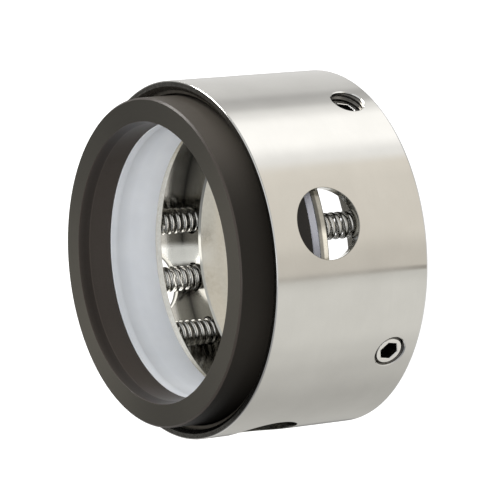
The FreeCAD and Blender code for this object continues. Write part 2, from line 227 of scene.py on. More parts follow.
def drum(surface, R, z0, z1, outward, holes, rows, mat=0):
    """A quarter of a cylinder with round radial holes of (degrees, height, radius),
    repeated four times round the axis."""
    step = TAU / ROUND
    first = -int(ROUND / 16)
    cols = [first + i for i in range(ROUND // 4 + 1)]
    zs = np.linspace(z0, z1, rows + 1)
    grid, loops = [], []
    for i in cols:
        for z in zs:
            phi = i * step
            inner = i not in (cols[0], cols[-1]) and z not in (zs[0], zs[-1])
            if inner and any(
                (R * math.sin(phi - math.radians(a))) ** 2 + (z - zc) ** 2 < (r + 0.45) ** 2
                for a, zc, r in holes
            ):
                continue
            grid.append((R * phi, z))
    for a, zc, r in holes:
        for extra in (0.0,):
            loop = []
            for t in np.arange(128) * TAU / 128:
                y = (r + extra) * math.cos(t)
                loop.append(len(grid))
                grid.append((R * (math.radians(a) + math.asin(y / R)), zc + (r + extra) * math.sin(t)))
            loops.append(loop)
    uv, tri = triangles(grid, loops)
    mid = uv[tri].mean(1)
    keep = np.ones(len(tri), bool)
    for a, zc, r in holes:
        keep &= (R * np.sin(mid[:, 0] / R - math.radians(a))) ** 2 + (mid[:, 1] - zc) ** 2 > r * r
    tri = tri[keep]
    for q in range(4):
        phi = uv[:, 0] / R + q * TAU / 4
        no = np.stack([np.cos(phi), np.sin(phi), np.zeros(len(phi))], 1)
        co = no * R
        co[:, 2] = uv[:, 1]
        surface.add(co, no * outward, tri, mat)


def radial_frame(degrees, height):
    a = math.radians(degrees)
    return (
        np.array([0, 0, height], float),
        np.array([-math.sin(a), math.cos(a), 0.0]),
        np.array([0, 0, 1.0]),
        np.array([math.cos(a), math.sin(a), 0.0]),
    )


def mouth(surface, place, r, edge, R, side, count=128, steps=4, mat=0):
    """The rounded edge where a radial hole of radius r leaves a cylinder of radius R:
    side is 1 at its outside and -1 at its inside. Returns the ring where the wall starts."""
    o, ex, ey, ez = place
    t = np.arange(count) * TAU / count
    rho = np.cos(t)[:, None] * ex + np.sin(t)[:, None] * ey
    co, no = [], []
    for a in np.linspace(0, math.pi / 2, steps + 1):
        q = r + edge * (1 - math.sin(a))
        x = np.sqrt(R * R - (q * np.cos(t)) ** 2)
        skin = (x[:, None] * ez + (q * np.cos(t))[:, None] * ex) / R * side
        co.append(o + rho * q + (x - side * edge * (1 - math.cos(a)))[:, None] * ez)
        no.append(math.cos(a) * skin - math.sin(a) * rho)
    if edge > 0:
        surface.grid(co, no, wrap=True, mat=mat)
    return co[-1], -rho


# ----------------------------------------------------------------- materials
class Nodes:
    """Short hand for a node tree."""

    def __init__(self, name):
        self.mat = bpy.data.materials.new(name)
        self.mat.use_nodes = True
        self.tree = self.mat.node_tree
        self.shader = self.tree.nodes["Principled BSDF"]

    def node(self, kind, inputs=None, **props):
        n = self.tree.nodes.new(kind)
        for k, v in props.items():
            setattr(n, k, v)
        for k, v in (inputs or {}).items():
            self.put(n.inputs[k], v)
        return n

    def put(self, socket, value):
        if isinstance(value, bpy.types.NodeSocket):
            self.tree.links.new(value, socket)
        else:
            socket.default_value = value

    def set(self, **values):
        for k, v in values.items():
            self.put(self.shader.inputs[k.replace("_", " ")], v)

    def noise(self, scale, detail=2.0, rough=0.5, vector=None, distortion=0.0):
        n = self.node("ShaderNodeTexNoise", {"Scale": scale, "Detail": detail, "Roughness": rough, "Distortion": distortion})
        if vector is not None:
            self.put(n.inputs["Vector"], vector)
        return n.outputs["Fac"]

    def ramp(self, fac, stops, mode="LINEAR"):
        n = self.node("ShaderNodeValToRGB", {"Fac": fac})
        n.color_ramp.interpolation = mode
        while len(n.color_ramp.elements) < len(stops):
            n.color_ramp.elements.new(0.5)
        for e, (p, c) in zip(n.color_ramp.elements, stops):
            e.position = p
            e.color = (c, c, c, 1) if isinstance(c, (int, float)) else (*c, 1)
        return n.outputs["Color"]

    def math(self, op, a, b=0.0, c=0.0, clamp=False):
        n = self.node("ShaderNodeMath", operation=op, use_clamp=clamp)
        for s, v in zip(n.inputs, (a, b, c)):
            self.put(s, v)
        return n.outputs[0]

    def span(self, fac, low, high, a=0.0, b=1.0):
        n = self.node("ShaderNodeMapRange", {"Value": fac, "From Min": a, "From Max": b, "To Min": low, "To Max": high})
        return n.outputs["Result"]

    def mix(self, fac, a, b, blend="MIX"):
        n = self.node("ShaderNodeMix", data_type="RGBA", blend_type=blend)
        self.put(n.inputs["Factor"], fac)
        self.put(n.inputs[6], a if isinstance(a, bpy.types.NodeSocket) else (*a, 1))
        self.put(n.inputs[7], b if isinstance(b, bpy.types.NodeSocket) else (*b, 1))
        return n.outputs[2]

    def object_xyz(self):
        coord = self.node("ShaderNodeTexCoord").outputs["Object"]
        x = self.node("ShaderNodeSeparateXYZ", {"Vector": coord}).outputs
        return coord, x[0], x[1], x[2]

    def polar(self):
        """Radius in mm, angle in radians and height in mm about the seal's axis."""
        coord, x, y, z = self.object_xyz()
        r = self.math("SQRT", self.math("ADD", self.math("MULTIPLY", x, x), self.math("MULTIPLY", y, y)))
        a = self.math("ARCTAN2", y, x)
        return self.math("MULTIPLY", r, 1000.0), a, self.math("MULTIPLY", z, 1000.0)

    def vector(self, x, y, z):
        return self.node("ShaderNodeCombineXYZ", {"X": x, "Y": y, "Z": z}).outputs[0]

    def bump(self, height, strength, distance, normal=None):
        n = self.node("ShaderNodeBump", {"Height": height, "Strength": strength, "Distance": distance})
        if normal is not None:
            self.put(n.inputs["Normal"], normal)
        return n.outputs["Normal"]


def turning(nt, across, along, fine=14.0, ragged=3.0):
    """Tool marks: fine lines at steps of the first coordinate, broken up a little
    along the second. Returns a 0 to 1 field."""
    a = nt.noise(1.0, 3.0, 0.65, nt.vector(nt.math("MULTIPLY", across, fine), nt.math("MULTIPLY", along, ragged), 0.0))
    return a


def polished_steel():
    nt = Nodes("polished_steel")
    r, a, z = nt.polar()
    coord, _, _, _ = nt.object_xyz()
    across = nt.math("ADD", r, z)
    ca, sa = nt.math("MULTIPLY", nt.math("COSINE", a), 3.0), nt.math("MULTIPLY", nt.math("SINE", a), 3.0)
    lines = nt.noise(1.0, 4.0, 0.7, nt.vector(ca, sa, nt.math("MULTIPLY", across, 9.0)))
    broad = nt.noise(90.0, 3.0, 0.5, coord)
    smudge = nt.noise(260.0, 4.0, 0.6, coord)
    rough = nt.math("ADD", nt.span(lines, 0.09, 0.14, 0.25, 0.75), nt.span(smudge, -0.01, 0.015, 0.3, 0.7))
    tint = nt.mix(nt.span(broad, 0.0, 1.0, 0.3, 0.7), (0.605, 0.598, 0.580), (0.650, 0.643, 0.625))
    tint = nt.mix(nt.span(lines, 0.0, 0.30, 0.3, 0.8), tint, (0.57, 0.563, 0.545))
    nt.set(Base_Color=tint, Metallic=1.0, Roughness=rough, Anisotropic=0.8)
    nt.put(nt.shader.inputs["Normal"], nt.bump(lines, 0.05, 0.00002))
    tangent = nt.node("ShaderNodeTangent", direction_type="RADIAL", axis="Z")
    nt.put(nt.shader.inputs["Tangent"], tangent.outputs[0])
    return nt.mat


def bored_steel():
    """Inside of the retainer: turned, a little rougher than the outside, and darker than it, which is painted shade for
    the cavity.
    """
    nt = Nodes("bored_steel")
    r, a, z = nt.polar()
    coord, _, _, _ = nt.object_xyz()
    across = nt.math("ADD", r, z)
    ca, sa = nt.math("MULTIPLY", nt.math("COSINE", a), 3.0), nt.math("MULTIPLY", nt.math("SINE", a), 3.0)
    lines = nt.noise(1.0, 3.0, 0.7, nt.vector(ca, sa, nt.math("MULTIPLY", across, 6.0)))
    smudge = nt.noise(220.0, 4.0, 0.6, coord)
    rough = nt.math("ADD", nt.span(lines, 0.11, 0.22, 0.25, 0.75), nt.span(smudge, -0.02, 0.03, 0.3, 0.7))
    tint = nt.mix(nt.span(smudge, 0.0, 1.0, 0.3, 0.7), (0.42, 0.405, 0.365), (0.47, 0.455, 0.415))
    # Painted shade: darker towards the corner of the wall and the collar's face.
    wall = nt.math("MULTIPLY", nt.math("SUBTRACT", z, 14.8), 0.2, clamp=True)
    face = nt.math("MULTIPLY", nt.math("SUBTRACT", 37.4, r), 0.33, clamp=True)
    corner = nt.ramp(nt.math("ADD", wall, face), [(0.0, 0.42), (0.10, 0.58), (0.45, 0.85), (1.0, 1.0)])
    tint = nt.mix(1.0, tint, corner, "MULTIPLY")
    # Painted reflection: bright at one place beside the rear window.
    painted_reflection = nt.ramp(nt.span(a, 0.0, 1.0, math.radians(166.0), math.radians(176.0)), [(0.0, 0.0), (0.28, 1.0), (0.72, 1.0), (1.0, 0.0)], "EASE")
    tint = nt.mix(nt.math("MULTIPLY", painted_reflection, 0.9), tint, (0.98, 0.97, 0.93))
    nt.set(Base_Color=tint, Metallic=1.0, Roughness=rough)
    nt.put(nt.shader.inputs["Normal"], nt.bump(lines, 0.12, 0.00003))
    return nt.mat


def dark_ceramic(name, low, high, rough, level, lapped=False, shade_zones=None, painted_light_sweep=None):
    """Ground silicon carbide. Zones are (height in mm, factor on the colour): they darken
    the chamfer in the bore below the lapped face, partly as its own machined colour and
    partly as painted shade, and paint a highlight on its ridge with the bore. Sweep is
    (degrees round the axis, factor): painted light and shade, lighter round one side of
    the ring and darker round the other."""
    nt = Nodes(name)
    r, a, z = nt.polar()
    coord, _, _, _ = nt.object_xyz()
    grain = nt.noise(5200.0, 3.0, 0.7, coord)
    patch = nt.noise(140.0, 3.0, 0.55, coord)
    across = nt.math("ADD", r, z)
    ca, sa = nt.math("MULTIPLY", nt.math("COSINE", a), 4.0), nt.math("MULTIPLY", nt.math("SINE", a), 4.0)
    lines = nt.noise(1.0, 3.0, 0.65, nt.vector(ca, sa, nt.math("MULTIPLY", across, 5.0)))
    tint = nt.mix(nt.span(grain, 0.0, 1.0, 0.35, 0.65), low, high)
    tint = nt.mix(nt.span(patch, 0.0, 0.35, 0.35, 0.7), tint, high)
    if shade_zones:
        z0, z1 = shade_zones[0][0], shade_zones[-1][0]
        # Painted shade down the chamfer and a painted highlight on its ridge.
        zone_shade = nt.ramp(nt.span(z, 0.0, 1.0, z0, z1), [((h - z0) / (z1 - z0), f) for h, f in shade_zones])
        tint = nt.mix(1.0, tint, zone_shade, "MULTIPLY")
    if painted_light_sweep:
        # Painted light and shade round the axis.
        turn = nt.ramp(nt.span(a, 0.0, 1.0, -math.pi, math.pi), [((d + 180) / 360, f / 4) for d, f in painted_light_sweep], "B_SPLINE")
        turn = nt.math("MULTIPLY", turn, 4.0)
        tint = nt.mix(1.0, tint, turn, "MULTIPLY")
    rr = nt.math("ADD", nt.span(grain, rough - 0.05, rough + 0.06, 0.3, 0.7), nt.span(lines, -0.02, 0.04, 0.3, 0.7))
    nt.set(Base_Color=tint, Metallic=0.0, Roughness=rr, Specular_IOR_Level=level)
    if lapped:
        nt.put(nt.shader.inputs["Normal"], nt.bump(grain, 0.04, 0.00001))
    else:
        nt.put(nt.shader.inputs["Normal"], nt.bump(lines, 0.15, 0.00002, nt.bump(grain, 0.12, 0.00001)))
    return nt.mat


def white_ptfe():
    nt = Nodes("white_ptfe")
    r, a, z = nt.polar()
    coord, _, _, _ = nt.object_xyz()
    across = nt.math("ADD", r, z)
    ca, sa = nt.math("MULTIPLY", nt.math("COSINE", a), 3.0), nt.math("MULTIPLY", nt.math("SINE", a), 3.0)
    lines = nt.noise(1.0, 3.0, 0.6, nt.vector(ca, sa, nt.math("MULTIPLY", across, 7.0)))
    cloud = nt.noise(120.0, 3.0, 0.55, coord)
    tint = nt.mix(nt.span(cloud, 0.0, 1.0, 0.3, 0.7), (0.62, 0.643, 0.680), (0.68, 0.703, 0.735))
    # Painted shade: the bevel of the lip and the back of the bore are darker than the middle of the bore, and the thin
    # rim darker still.
    lip = nt.ramp(nt.span(z, 0.0, 1.0, 26.0, 38.2), [(0.0, 0.86), (0.35, 1.0), (0.60, 1.0), (0.86, 0.80), (0.885, 0.74), (0.91, 0.80), (1.0, 0.80)])
    tint = nt.mix(1.0, tint, lip, "MULTIPLY")
    # Painted shade on the thin rim, which lies partly in shadow.
    tint = nt.mix(1.0, tint, nt.ramp(nt.span(r, 0.0, 1.0, 36.0, 37.0), [(0.2, 1.0), (0.8, (0.66, 0.64, 0.67))]), "MULTIPLY")
    nt.set(Base_Color=tint, Roughness=nt.span(lines, 0.30, 0.45, 0.3, 0.7), Specular_IOR_Level=0.35,
           Subsurface_Weight=0.25, Subsurface_Scale=0.0012)
    nt.shader.inputs["Subsurface Radius"].default_value = (1.0, 0.9, 0.8)
    nt.put(nt.shader.inputs["Normal"], nt.bump(lines, 0.2, 0.00003))
    return nt.mat


def plain_steel(name, a_tint, b_tint, low, high, lines_scale=6.0, bump=0.15, metallic=1.0, rim=None):
    """Turned steel. Rim is the radius in mm beyond which the edge is painted: a band of
    painted reflection low on it, darker above and below it, and a painted reflection
    brighter still at one place in each quarter turn."""
    nt = Nodes(name)
    r, a, z = nt.polar()
    coord, _, _, _ = nt.object_xyz()
    across = nt.math("ADD", r, z)
    ca, sa = nt.math("MULTIPLY", nt.math("COSINE", a), 3.0), nt.math("MULTIPLY", nt.math("SINE", a), 3.0)
    lines = nt.noise(1.0, 3.0, 0.65, nt.vector(ca, sa, nt.math("MULTIPLY", across, lines_scale)))
    spots = nt.noise(900.0, 4.0, 0.6, coord)
    tint = nt.mix(nt.span(spots, 0.0, 1.0, 0.3, 0.7), a_tint, b_tint)
    if rim:
        # Painted reflection and shade on the rim.
        painted_rim_bands = nt.ramp(nt.span(z, 0.0, 1.0, 24.1, 26.4), [(0.0, 0.45), (0.1, 0.5), (0.16, 1.0), (0.5, 1.0), (0.62, 0.34), (1.0, 0.30)])
        place = nt.math("FRACT", nt.math("ADD", nt.math("MULTIPLY", a, 2 / math.pi), 0.5))
        painted_reflection = nt.math("MULTIPLY", nt.ramp(place, [(0.0, 0.45), (0.36, 0.5), (0.38, 0.97), (0.465, 0.97), (0.50, 0.42), (1.0, 0.42)]), 2.0)
        edge = nt.mix(1.0, painted_rim_bands, painted_reflection, "MULTIPLY")
        tint = nt.mix(nt.span(r, 0.0, 1.0, rim - 0.2, rim), tint, nt.mix(1.0, tint, edge, "MULTIPLY"))
    rough = nt.math("ADD", nt.span(lines, low, high, 0.3, 0.7), nt.span(spots, -0.03, 0.03, 0.3, 0.7))
    nt.set(Base_Color=tint, Metallic=metallic, Roughness=rough)
    nt.put(nt.shader.inputs["Normal"], nt.bump(lines, bump, 0.00003))
    return nt.mat


def wire_steel(name, a_tint, b_tint, low, high, scale=700.0):
    """Drawn wire and rolled threads: spots and drawing marks without a turning axis."""
    nt = Nodes(name)
    coord, _, _, _ = nt.object_xyz()
    spots = nt.noise(scale, 4.0, 0.6, coord)
    fine = nt.noise(scale * 6, 2.0, 0.6, coord)
    tint = nt.mix(nt.span(spots, 0.0, 1.0, 0.3, 0.7), a_tint, b_tint)
    nt.set(Base_Color=tint, Metallic=1.0, Roughness=nt.span(spots, low, high, 0.3, 0.7))
    nt.put(nt.shader.inputs["Normal"], nt.bump(fine, 0.08, 0.00001))
    return nt.mat


M_SHELL = polished_steel()
M_BORE = bored_steel()
M_RING = dark_ceramic("dark_ceramic", (0.0100, 0.0082, 0.0070), (0.0160, 0.0135, 0.0114), 0.44, 0.26)
M_FACE = dark_ceramic("lapped_ceramic", (0.036, 0.0295, 0.0253), (0.044, 0.0365, 0.0317), 0.34, 0.20, True, shade_zones=[
    (42.6, 1.0), (43.45, 0.96), (43.66, 1.3), (43.9, 0.56), (44.9, 0.52), (45.7, 0.66), (46.1, 0.85), (46.3, 1.0)])
# The lapped face's sweep paints light and shade round it.
M_LAPPED = dark_ceramic("lapped_face", (0.036, 0.0333, 0.0278), (0.044, 0.0407, 0.0340), 0.34, 0.20, True, painted_light_sweep=[
    (-180, 1.20), (-172, 1.28), (-157, 1.34), (-142, 1.22), (-127, 1.02), (-112, 0.72), (-97, 0.67), (-82, 0.74), (-60, 0.85), (-37, 1.0), (-7, 1.07),
    (8, 1.04), (23, 0.92), (38, 0.72), (53, 0.70), (68, 0.61), (83, 0.56), (98, 0.54), (113, 0.66), (128, 0.70), (143, 0.88), (158, 1.02), (180, 1.20)])
# The nose's sweep paints it lit on one side and in shade on the other.
M_NOSE = dark_ceramic("ground_nose", (0.027, 0.0238, 0.0200), (0.033, 0.0292, 0.0250), 0.44, 0.06, painted_light_sweep=[
    (-180, 0.9), (-130, 0.4), (-100, 0.03), (-80, 0.04), (-67, 0.20), (-52, 0.50), (-37, 0.76), (-22, 0.62), (-7, 0.58), (8, 0.66),
    (20, 1.20), (32, 2.0), (45, 2.05), (60, 1.9), (75, 1.85), (90, 1.5), (120, 1.0), (180, 0.9)])
M_PTFE = white_ptfe()
M_DISC = plain_steel("turned_steel", (0.44, 0.435, 0.405), (0.53, 0.525, 0.495), 0.16, 0.28, rim=36.8)
M_SNAP = plain_steel("dark_steel", (0.10, 0.09, 0.075), (0.16, 0.145, 0.12), 0.30, 0.44, metallic=0.9)
M_WIRE = wire_steel("spring_steel", (0.50, 0.49, 0.465), (0.66, 0.65, 0.62), 0.12, 0.24)
M_SCREW = wire_steel("screw_steel", (0.76, 0.75, 0.73), (0.86, 0.85, 0.83), 0.20, 0.32)
M_SHAFT_BORE = plain_steel("reamed_steel", (0.385, 0.377, 0.345), (0.415, 0.407, 0.375), 0.08, 0.13)
M_TAPPED = wire_steel("tapped_steel", (0.07, 0.065, 0.057), (0.17, 0.162, 0.15), 0.22, 0.40)
# Near black socket walls and floor: painted shade in the socket.
M_SOCKET = wire_steel("socket_steel", (0.02, 0.018, 0.016), (0.05, 0.046, 0.042), 0.40, 0.60)
# The front rim, its lip and groove take a darker copy of the steel: painted shade.
M_RIM = plain_steel("rim_steel", (0.145, 0.14, 0.128), (0.205, 0.20, 0.187), 0.18, 0.32)

# ------------------------------------------------------------------ retainer
SHELL, INNER, BORE = 39.5, 37.4, 30.05
COLLAR, LENGTH = 14.8, 39.3
WINDOW_R, WINDOW_Z = 7.85, 25.0
SCREW_Z, SCREW_HOLE, SINK = 7.0, 3.7, 3.9
SPRING_CIRCLE = 33.9
SPRING_ANGLES = [90 * (k // 3) + (k % 3 - 1) * 22.5 for k in range(12)]
PIN_ANGLES = (78.75, 258.75)
EDGE_OUT, EDGE_IN = 0.14, 0.10

retainer = Surface()
# Back face, outer edge at the back.
lathe(retainer, rounded([(BORE + 0.6, 0, 0), (SHELL - 0.5, 0, 0.12), (SHELL, 0.5, 0.25), (SHELL, 1.2, 0)])[:-1])
# Bore's lead-in at the back.
lathe(retainer, rounded([(BORE, 1.4, 0), (BORE, 0.6, 0.12), (BORE + 0.6, 0, 0.0)])[1:], mat=1)
# The polished outside, with its windows and screw holes.
drum(retainer, SHELL, 0.5 + 0.25 * math.tan(math.radians(22.5)), LENGTH - 0.3, 1,
     [(0, WINDOW_Z, WINDOW_R + EDGE_OUT), (45, SCREW_Z, SINK + 0.06)], 18)
# Front rim: edge break, flat, lead-in chamfer, lip, groove, inner wall's start.
rim = rounded([
    (SHELL, LENGTH - 1.5, 0), (SHELL, LENGTH, 0.3), (38.25, LENGTH, 0.06), (INNER, LENGTH - 0.8, 0.08),
    (INNER, 37.7, 0.05), (38.35, 37.7, 0.04), (38.35, 36.4, 0.04), (INNER, 36.4, 0.05), (INNER, 35.9, 0),
])[1:]
lathe(retainer, rim[:1])
lathe(retainer, rim[1:], mat=4)
drum(retainer, INNER, COLLAR, 35.9, -1, [(0, WINDOW_Z, WINDOW_R + EDGE_IN)], 10, mat=1)
# Collar's front face, with the spring pockets and the pins' running holes.
POCKET, POCKET_EDGE = 3.25, 0.10
plate, loops = [], []
face_in = BORE + 0.42
for radius in (face_in, INNER):
    loops.append([len(plate) + i for i in range(ROUND)])
    plate += [(radius * math.cos(i * TAU / ROUND), radius * math.sin(i * TAU / ROUND)) for i in range(ROUND)]
holes = [(a, POCKET + POCKET_EDGE, 64) for a in SPRING_ANGLES]
holes += [(a, 1.75 + 0.1, 48) for a in PIN_ANGLES]
spots = []
for a, r, n in holes:
    cx, cy = SPRING_CIRCLE * math.cos(math.radians(a)), SPRING_CIRCLE * math.sin(math.radians(a))
    spots.append((cx, cy, r))
    loops.append([len(plate) + i for i in range(n)])
    plate += [(cx + r * math.cos(i * TAU / n), cy + r * math.sin(i * TAU / n)) for i in range(n)]
uv, tri = triangles(plate, loops)
mid = uv[tri].mean(1)
far = np.hypot(mid[:, 0], mid[:, 1])
keep = (far > face_in - 1e-3) & (far < INNER)
for cx, cy, r in spots:
    keep &= np.hypot(mid[:, 0] - cx, mid[:, 1] - cy) > r
retainer.add(np.column_stack([uv, np.full(len(uv), COLLAR)]), np.tile([0, 0, 1.0], (len(uv), 1)), tri[keep], 1)
for a in SPRING_ANGLES:
    a = math.radians(a)
    at = (np.array([SPRING_CIRCLE * math.cos(a), SPRING_CIRCLE * math.sin(a), 0]), *WORLD[1:])
    lathe(retainer, rounded([
        (POCKET + 1, COLLAR, 0), (POCKET, COLLAR, POCKET_EDGE), (POCKET, COLLAR - 3.6, 0.1), (0, COLLAR - 3.6, 0),
    ])[1:], count=64, place=at, mat=1)
for a in PIN_ANGLES:
    a = math.radians(a)
    at = (np.array([SPRING_CIRCLE * math.cos(a), SPRING_CIRCLE * math.sin(a), 0]), *WORLD[1:])
    lathe(retainer, rounded([(2.8, COLLAR, 0), (1.75, COLLAR, 0.1), (1.75, 6.2, 0.1), (0, 6.2, 0)])[1:], count=48, place=at, mat=1)
# Inner edge of the collar's face, and the bore for the shaft.
lathe(retainer, rounded([(face_in + 0.5, COLLAR, 0), (face_in, COLLAR, 0), (BORE, COLLAR - 0.42, 0), (BORE, 12.0, 0)])[1:2], mat=2)
drum(retainer, BORE, 0.6 + 0.12 * math.tan(math.radians(22.5)), COLLAR - 0.42, -1, [(45, SCREW_Z, SCREW_HOLE + 0.08)], 8, mat=2)
# Window walls with rounded edges.
for k in range(4):
    at = radial_frame(90 * k, WINDOW_Z)
    # The outer rounded edge takes the darker reamed steel: painted shade that dims its highlight.
    top, no = mouth(retainer, at, WINDOW_R, EDGE_OUT, SHELL, 1, mat=2)
    low, _ = mouth(retainer, at, WINDOW_R, EDGE_IN, INNER, -1, mat=1)
    retainer.grid([top, (top + low) / 2, low], [no, no, no], wrap=True, mat=2)

# Screw holes: countersink, then a thread down to the bore. Its crests stay clear
# of the screws.
PITCH = 1.25


def thread(surface, place, crest, root, x0, x1, end0, end1, inward, count=64, per=8, mat=0, pitch=PITCH, fade=0.45, shift=0.0):
    """A helical thread between heights x0 and x1 on an axis, each a number or a
    number for every step round. Its ends run out to the radii end0 and end1."""
    o, ex, ey, ez = place
    t = np.linspace(0, TAU, count + 1)
    x0, x1 = np.broadcast_to(x0, t.shape).astype(float), np.broadcast_to(x1, t.shape).astype(float)
    rows = range(-per - 1, int((x1.max() - x0.min()) / pitch * per) + per + 3)
    co = np.zeros((len(rows), count + 1, 3))
    for n, j in enumerate(rows):
        x = x0.min() + (j / per + shift + t / TAU) * pitch
        x = np.clip(x, x0, x1)
        p = (j % per) / per
        h = max(0.0, min(1.0, (abs(p - 0.5) * 2 - 0.14) / 0.72))
        r = root + (crest - root) * h
        low, high = np.clip((x - x0) / fade, 0, 1), np.clip((x1 - x) / fade, 0, 1)
        low, high = low * low * (3 - 2 * low), high * high * (3 - 2 * high)
        r = (end0 + (r - end0) * low) * high + end1 * (1 - high)
        co[n] = o + (r * np.cos(t))[:, None] * ex + (r * np.sin(t))[:, None] * ey + x[:, None] * ez
    du, dv = np.gradient(co, axis=0), np.gradient(co, axis=1)
    no = np.cross(du, dv)
    rho = np.cos(t)[:, None] * ex + np.sin(t)[:, None] * ey
    weak = np.linalg.norm(no, axis=2) < 1e-9
    no[weak] = np.broadcast_to(rho, no.shape)[weak]
    flip = np.einsum("ijk,jk->ij", no, rho) * (-1 if inward else 1) < 0
    no[flip] *= -1
    seam = (no[:, 0] / np.maximum(np.linalg.norm(no[:, 0], axis=1, keepdims=True), 1e-12))
    surface.grid(co, no, mat=mat)


t128 = np.arange(129) * TAU / 128
for k in range(4):
    at = radial_frame(45 + 90 * k, SCREW_Z)
    o, ex, ey, ez = at
    t = np.arange(128) * TAU / 128
    rho = np.cos(t)[:, None] * ex + np.sin(t)[:, None] * ey
    # Small countersink from the outside, its edge rounded a little.
    outer = SINK + 0.06
    x_out = np.sqrt(SHELL**2 - (outer * np.cos(t)) ** 2)
    x_mid = np.sqrt(SHELL**2 - (SINK * np.cos(t)) ** 2) - 0.03
    foot = x_mid - (SINK - SCREW_HOLE) + 0.03
    skin = (x_out[:, None] * ez + (outer * np.cos(t))[:, None] * ex) / SHELL
    slope = (ez - rho) / math.sqrt(2)
    retainer.grid([o + rho * outer + x_out[:, None] * ez, o + rho * SINK + x_mid[:, None] * ez],
                  [skin, slope], wrap=True)
    retainer.grid([o + rho * SINK + x_mid[:, None] * ez, o + rho * SCREW_HOLE + foot[:, None] * ez],
                  [slope, slope], wrap=True)
    q = SCREW_HOLE + 0.08
    in_edge = np.sqrt(BORE**2 - (q * np.cos(t)) ** 2)
    in_wall = np.sqrt(BORE**2 - (SCREW_HOLE * np.cos(t)) ** 2) + 0.08
    skin = -(in_edge[:, None] * ez + (q * np.cos(t))[:, None] * ex) / BORE
    retainer.grid([o + rho * q + in_edge[:, None] * ez, o + rho * SCREW_HOLE + in_wall[:, None] * ez],
                  [skin, -rho], wrap=True, mat=2)
    wall = np.append(in_wall, in_wall[0])
    thread(retainer, at, 3.65, 4.15, wall, np.append(foot, foot[0]), SCREW_HOLE, SCREW_HOLE, True, count=128, mat=3)

shell = piece("retainer_shell", retainer, [M_SHELL, M_BORE, M_SHAFT_BORE, M_TAPPED, M_RIM], "retainer", "polished_steel", "retainer")

# ----------------------------------------------------------------- face ring
def sectors(surface, full, cut, places, width, count=ROUND, mat=0):
    """Turns one outline all round, and another in sectors centred on the places."""
    places = sorted(places)
    each = 360.0 / count
    for n, a in enumerate(places):
        lathe(surface, cut, max(2, int(round(width / each))), a - width / 2, a + width / 2, mat=mat)
        nxt = places[(n + 1) % len(places)] + (360 if n == len(places) - 1 else 0)
        span = nxt - a - width
        lathe(surface, full, max(2, int(round(span / each))), a + width / 2, nxt - width / 2, mat=mat)


def side_walls(surface, outline, places, width, toward, mat=0):
    """Flat walls at both ends of each sector. toward is 1 where they face out of the
    sector and -1 where they face into it."""
    for a in places:
        for s in (-1, 1):
            b = math.radians(a + s * width / 2)
            n = np.array([-math.sin(b), math.cos(b), 0.0]) * s * toward
            surface.cap([(r * math.cos(b), r * math.sin(b), z) for r, z in outline], n, mat)


LUGS = (22.5, 202.5)
NOSE, NOSE_TOP, FLANGE_R, FLANGE_TOP, RING_LOW, SLOT_TOP = 36.2, 46.3, 37.1, 36.38, 28.2, 31.9
SEAT_WIDE, SEAT_NARROW, SEAT_TOP = 35.1, 30.92, 38.25
seat_at = lambda z: SEAT_WIDE - (z - RING_LOW) / (SEAT_TOP - RING_LOW) * (SEAT_WIDE - SEAT_NARROW)
ring = Surface()
# The ground sides, from the slots' top round to the seat.
upper = [
    (FLANGE_R, SLOT_TOP, 0), (FLANGE_R, FLANGE_TOP, 0.2), (NOSE, FLANGE_TOP, 0.25), (NOSE, NOSE_TOP - 0.42, 0.1),
    (NOSE - 0.42, NOSE_TOP, 0.08), (31.0, NOSE_TOP, 0.10), (30.5, 43.7, 0.3), (30.5, SEAT_TOP, 0.08),
    (SEAT_NARROW, SEAT_TOP, 0.05), (seat_at(SLOT_TOP), SLOT_TOP, 0),
]
for s in rounded(upper):
    # The lapped face and the bore are paler than the ground outside.
    inside = s[:, 0].min() < NOSE - 0.35 and s[:, 1].min() > SEAT_TOP - 0.2
    top = s[:, 1].min() > NOSE_TOP - 0.05
    nose = s[:, 0].min() > NOSE - 0.45 and s[:, 1].min() > FLANGE_TOP - 0.05
    lathe(ring, [s], mat=2 if top else 1 if inside else 3 if nose else 0)
foot = rounded([
    (seat_at(SLOT_TOP), SLOT_TOP, 0), (SEAT_WIDE, RING_LOW, 0.08), (FLANGE_R, RING_LOW, 0.2), (FLANGE_R, SLOT_TOP, 0),
])
gap = rounded([(seat_at(SLOT_TOP), SLOT_TOP, 0), (FLANGE_R, SLOT_TOP, 0)])
sectors(ring, foot, gap, LUGS, 10.0)
side_walls(ring, [tuple(p[:2]) for s in foot for p in s[: len(s) - 1]] + [(FLANGE_R, SLOT_TOP)], LUGS, 10.0, -1)
face = piece("face_ring_ground", ring, [M_RING, M_FACE, M_LAPPED, M_NOSE], "seal_head", "dark_ceramic", "face_ring")

# ---------------------------------------------------------------- wedge ring
WEDGE_BORE, WEDGE_LOW, WEDGE_TIP = 30.12, 26.4, 38.1
play = 0.03
wedge = Surface()
tip_r = SEAT_NARROW - play
rim_top = RING_LOW - play
body = [
    (SEAT_WIDE - play, rim_top, 0), (tip_r, WEDGE_TIP, 0.10), (30.45, WEDGE_TIP, 0.12), (WEDGE_BORE, 36.6, 0.6),
    (WEDGE_BORE, WEDGE_LOW, 0.22), (35.2, WEDGE_LOW, 0),
]
lathe(wedge, rounded(body, steps=6))
rim = rounded([(35.2, WEDGE_LOW, 0), (FLANGE_R, WEDGE_LOW, 0.2), (FLANGE_R, rim_top, 0.2), (SEAT_WIDE - play, rim_top, 0)])
